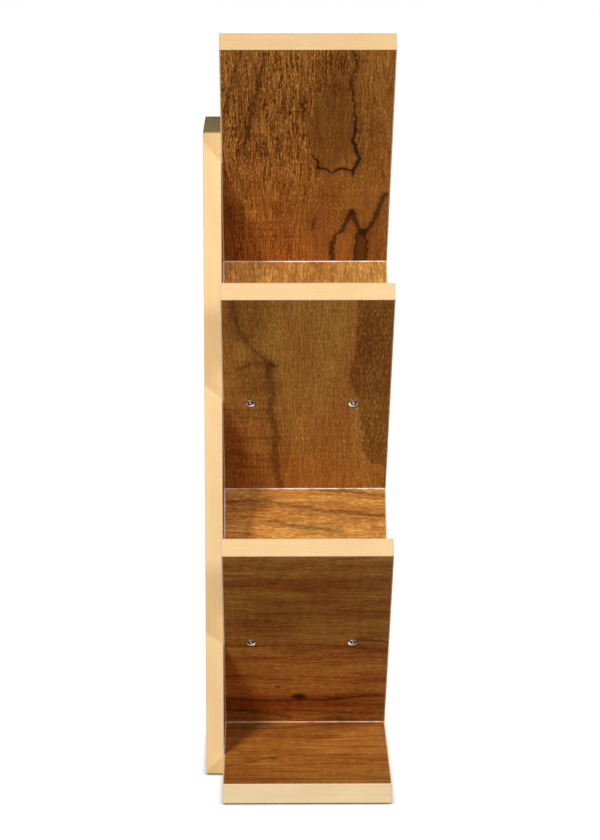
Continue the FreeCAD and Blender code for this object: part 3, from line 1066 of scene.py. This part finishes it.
class ScrewPattern(NodeGraph):
    """The node group that sets a joint screw on each point of a mesh."""

    SIZES = ("Head Radius", "Crown", "Recess Radius", "Pin Radius", "Shank Radius", "Shank Length")

    def __init__(self, plating: bpy.types.Material, shade: bpy.types.Material) -> None:
        """Make the group with its named inputs.

        Args:
            plating: The finish of the bright parts.
            shade: The finish of the dark parts, which is painted shade.
        """
        super().__init__(bpy.data.node_groups.new("joint_screws", "GeometryNodeTree"))
        self.shape = HeadShape()
        self.plating, self.shade = plating, shade
        sockets = self.tree.interface
        sockets.new_socket("Seats", in_out="INPUT", socket_type="NodeSocketGeometry")
        sockets.new_socket("Screws", in_out="OUTPUT", socket_type="NodeSocketGeometry")
        self.names: dict[str, str] = {}
        for name in ("Turn", *self.SIZES):
            kind = "NodeSocketRotation" if name == "Turn" else "NodeSocketFloat"
            self.names[name] = sockets.new_socket(name, in_out="INPUT", socket_type=kind).identifier
        self.given = self.add("NodeGroupInput").outputs
        self.wire()

    def share(self, name: str, factor: float) -> Socket:
        """A named input times a factor."""
        return self.times(self.given[name], factor)

    def cone(self, low: object, high: object, height: object, lift: object, ends: Ends) -> Socket:
        """A round piece between two radii.

        Args:
            low: Radius at its foot.
            high: Radius at its top.
            height: Height from foot to top.
            lift: Height of its foot over the seat.
            ends: Whether it is closed, a sleeve that faces out or a dish that faces in.

        Returns:
            The piece's geometry.
        """
        feeds = {"Vertices": self.shape.sides, "Radius Bottom": low, "Radius Top": high, "Depth": height}
        fill = "NGON" if ends is Ends.CLOSED else "NONE"
        made = self.add("GeometryNodeMeshCone", feeds, fill_type=fill).outputs["Mesh"]
        if ends is Ends.DISH:
            made = self.add("GeometryNodeFlipFaces", {"Mesh": made}).outputs[0]
        rise = self.add("ShaderNodeCombineXYZ", {"Z": lift}).outputs[0]
        return self.add("GeometryNodeTransform", {"Geometry": made, "Translation": rise}).outputs[0]

    def spread(self, pieces: tuple[Socket, ...], material: bpy.types.Material) -> Socket:
        """Pieces of one finish, set on every seat and made real.

        Args:
            pieces: The pieces' geometry.
            material: Their finish.

        Returns:
            The geometry.
        """
        joined = self.add("GeometryNodeJoinGeometry")
        for piece in pieces:
            self.feed(joined.inputs[0], piece)
        feeds = {"Points": self.given["Seats"], "Instance": joined.outputs[0], "Rotation": self.given["Turn"]}
        seated = self.add("GeometryNodeInstanceOnPoints", feeds).outputs[0]
        real = self.add("GeometryNodeRealizeInstances", {0: seated}).outputs[0]
        return self.add("GeometryNodeSetMaterial", {"Geometry": real, "Material": material}).outputs[0]

    def wire(self) -> None:
        """Lay the group out: shank, rim, the dish inside it, its dark floor and the pin in the middle; the
        rim's outer wall and the floor are painted shade.
        """
        head, crown, recess, pin_radius, radius, length = (self.given[name] for name in self.SIZES)
        shank = self.cone(radius, radius, length, self.share("Shank Length", -1.0), Ends.CLOSED)
        lip = self.share("Head Radius", self.shape.lip)
        lift = self.share("Crown", self.shape.floor_lift)
        wall = self.cone(head, lip, crown, 0.0, Ends.SLEEVE)
        dish = self.cone(recess, lip, self.share("Crown", self.shape.dish_height), lift, Ends.DISH)
        floor = self.cone(recess, recess, self.share("Crown", self.shape.floor_height), lift, Ends.CLOSED)
        pin_top = self.share("Pin Radius", self.shape.pin_top)
        pin = self.cone(pin_radius, pin_top, self.share("Crown", self.shape.pin_height), lift, Ends.CLOSED)
        both = self.add("GeometryNodeJoinGeometry")
        self.feed(both.inputs[0], self.spread((shank, dish, pin), self.plating))
        # Painted shade: a dark ring round the head and a dark floor in its recess.
        self.feed(both.inputs[0], self.spread((wall, floor), self.shade))
        self.add("NodeGroupOutput", {0: both.outputs[0]})


@dataclass(frozen=True)
class JointScrews:
    """The two screws up through a board into the foot of the branch that stands on it, in millimetres."""

    branch: str
    carrier: BranchBoard
    reach: float
    sides: Point = (42.0, -50.0)
    head_radius: float = 4.6
    crown: float = 0.8
    recess_radius: float = 2.7
    pin_radius: float = 0.8
    shank_radius: float = 3.0
    shank_length: float = 49.0

    def seats(self) -> list[Vector]:
        """The middles of the heads on the carrier's lower face.

        Returns:
            The points in metres.
        """
        place = self.carrier.place()
        spot = Vector(place.corner) + self.reach * Vector(place.along)
        return [Vector((spot.x, side, spot.z)) * MM for side in self.sides]

    def build(self, pattern: ScrewPattern) -> None:
        """Make the screws in place of the plain ones of the frame.

        Args:
            pattern: The node group that makes them.
        """
        outward = Vector((-self.carrier.lean.value * SLOPE, 0.0, -SLOPE))
        mesh = bpy.data.meshes.new(f"{self.branch}_joint_screws")
        mesh.from_pydata([tuple(seat) for seat in self.seats()], [], [])
        screws = put(mesh.name, mesh)
        modifier = screws.modifiers.new("joint_screws", "NODES")
        modifier.node_group = pattern.tree
        modifier[pattern.names["Turn"]] = outward.to_track_quat("Z", "Y").to_euler()
        sizes = (
            self.head_radius, self.crown, self.recess_radius,
            self.pin_radius, self.shank_radius, self.shank_length,
        )
        for name, size in zip(pattern.SIZES, sizes):
            modifier[pattern.names[name]] = size * MM
        made = screws.evaluated_get(bpy.context.evaluated_depsgraph_get())
        screws.data = bpy.data.meshes.new_from_object(made)
        screws.modifiers.clear()
        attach(screws, "root")
        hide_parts(f"{self.branch}_foot_screws")


@dataclass(frozen=True)
class SoftLamp:
    """A square soft lamp that looks at a point of the shelf."""

    name: str
    location: Triple
    size: float
    power: float
    tint: Triple = (1.0, 1.0, 1.0)
    aim: Triple = (0.0, 0.0, 0.3)

    def build(self) -> None:
        """Hang the lamp."""
        data = bpy.data.lights.new(self.name, "AREA")
        data.color = self.tint
        data.shape, data.size, data.energy = "SQUARE", self.size, self.power
        lamp = put(self.name, data)
        lamp.location = self.location
        lamp.rotation_euler = (Vector(self.aim) - Vector(self.location)).to_track_quat("-Z", "Y").to_euler()


@dataclass(frozen=True)
class Studio:
    """The white floor and backdrop, the lamps and the camera of the photo."""

    lamps: tuple[SoftLamp, ...]
    ambient: float = 0.048
    bounce: Colour = (1.0, 0.8, 0.52, 1.0)
    floor_half: float = 8.0
    floor_drop: float = 0.001
    floor_colour: Colour = (0.25, 0.25, 0.25, 1.0)
    glow_reach: Point = (0.25, 0.9)
    glow_levels: Point = (0.92, 1.0)
    # How far and how finely ambient occlusion dims the floor's glow next to the shelf: a painted contact
    # shadow.
    contact_reach: float = 0.006
    contact_samples: int = 8
    lens: float = 142.58
    sensor: float = 36.0
    eye: Triple = (-2.9749, 0.02625, 0.91073)
    down: float = 0.1973
    aside: float = 0.0098

    def seen(self, graph: NodeGraph) -> Socket:
        """Tell the rays from the camera, and those that reflections or glass send on, from the others.

        Args:
            graph: The graph of the world or of a material.

        Returns:
            1 for such rays, 0 for others.
        """
        path = graph.add("ShaderNodeLightPath")
        mirrored = graph.math("MAXIMUM", path.outputs["Is Glossy Ray"], path.outputs["Is Transmission Ray"])
        return graph.math("MAXIMUM", path.outputs["Is Camera Ray"], mirrored)

    def backdrop(self) -> None:
        """A world that is white to the camera and to reflections, and dim as a light."""
        world = bpy.data.worlds.new("studio_world")
        world.use_nodes = True
        graph = NodeGraph(world.node_tree)
        seen = self.seen(graph)
        strength = graph.math("MULTIPLY_ADD", seen, 1.0 - self.ambient, self.ambient)
        background = world.node_tree.nodes["Background"]
        graph.feed(background.inputs["Strength"], strength)
        graph.feed(background.inputs["Color"], graph.blend(seen, self.bounce, WHITE))
        bpy.context.scene.world = world

    def floor(self) -> None:
        """A pale floor that keeps the shelf's shadow; next to the shelf its glow is dimmed by ambient
        occlusion, a painted contact shadow.
        """
        half = self.floor_half
        mesh = bpy.data.meshes.new("studio_floor")
        corners = [(-half, -half), (half, -half), (half, half), (-half, half)]
        mesh.from_pydata([(x, y, -self.floor_drop) for x, y in corners], [], [(0, 1, 2, 3)])
        floor = put("studio_floor", mesh)
        material, graph, shader = new_finish("studio_floor", roughness=1.0, specular=0.0)
        shader.inputs["Base Color"].default_value = self.floor_colour
        shader.inputs["Emission Color"].default_value = WHITE
        spot = graph.add("ShaderNodeTexCoord").outputs["Object"]
        reach = graph.add("ShaderNodeVectorMath", {0: spot}, operation="LENGTH").outputs["Value"]
        # Painted contact shadow: ambient occlusion dims the glow next to the shelf.
        feeds = {"Distance": self.contact_reach}
        contact = graph.add("ShaderNodeAmbientOcclusion", feeds, samples=self.contact_samples)
        glow = graph.fade(reach, *self.glow_reach, *self.glow_levels)
        glow = graph.times(glow, contact.outputs["AO"])
        graph.feed(shader.inputs["Emission Strength"], graph.times(self.seen(graph), glow))
        mesh.materials.append(material)

    def camera(self) -> None:
        """The camera at the photo's view."""
        data = bpy.data.cameras.new("photo_camera")
        data.lens, data.sensor_width = self.lens, self.sensor
        camera = put("photo_camera", data)
        camera.location = self.eye
        level = math.cos(self.down)
        forward = Vector((level * math.cos(self.aside), -level * math.sin(self.aside), -math.sin(self.down)))
        camera.rotation_euler = forward.to_track_quat("-Z", "Y").to_euler()
        bpy.context.scene.camera = camera

    def build(self) -> None:
        """Set the studio up."""
        self.backdrop()
        self.floor()
        self.camera()
        for lamp in self.lamps:
            lamp.build()
        bpy.context.scene.view_settings.view_transform = "Standard"


# Dark plating for the heads' outer wall and recess floor: painted shade.
PAINTED_SCREW_SHADE = PlatingAndPaintedShade("screw_painted_shade", ((0.1, 0.1, 0.105, 1.0), (0.05, 0.05, 0.055, 1.0)))
GLUE = EdgeBand("glue_finish", ((0.97, 0.94, 0.88, 1.0), (0.94, 0.88, 0.78, 1.0)))
STUDIO = Studio(
    (
        SoftLamp("main_lamp", (-3.71, 1.6, 2.5), 0.75, 157.0, (1.0, 0.98, 0.93)),
        SoftLamp("side_lamp", (-1.75, -1.03, 1.1), 0.3, 17.5, (0.74, 0.86, 1.0)),
        SoftLamp("high_lamp", (-1.5, 0.1, 1.9), 0.3, 3.2),
        SoftLamp("far_lamp", (2.2, -2.8, 0.55), 1.0, 105.0),
    )
)


def glue_lines() -> list[GlueLine]:
    """The lines along the branches' feet, and along the trunk on the right branches and the base.

    Returns:
        The lines.
    """
    lines = [GlueLine.at_foot(BRANCHES[0], 0.0)]
    lines += [GlueLine.at_foot(branch, BRANCH_ANGLE) for branch in BRANCHES[1:]]
    for branch, joint in zip(BRANCHES, JOINT_REACHES):
        if branch.lean is Lean.RIGHT:
            lines.append(GlueLine.at_trunk(branch, joint))
    return [*lines, GlueLine.on_base(BRANCHES[0].foot[0])]


def main() -> None:
    """Dress the bookshelf, add its joint screws and glue, and set up the studio."""
    logging.basicConfig(level=logging.INFO)
    plating = PlatingAndPaintedShade().build()
    for branch in BRANCHES:
        branch.dress(plating)
        LOG.info("dressed %s", branch.name)
    BaseBoard(BASE_WOOD).dress(plating)
    LOG.info("dressed the base")
    TrunkBoard(TRUNK_WOOD).dress()
    LOG.info("dressed the trunk")
    pattern = ScrewPattern(plating, PAINTED_SCREW_SHADE.build())
    for branch, carrier, reach in zip(BRANCHES[1:], BRANCHES, JOINT_REACHES):
        JointScrews(branch.name, carrier, reach).build(pattern)
        LOG.info("made the joint screws of %s", branch.name)
    glue = GLUE.build(BRANCHES[0].place().turned())
    for line in glue_lines():
        line.build(glue)
        LOG.info("made %s", line.name)
    STUDIO.build()
    LOG.info("set up the studio")


if __name__ == "__main__":
    main()
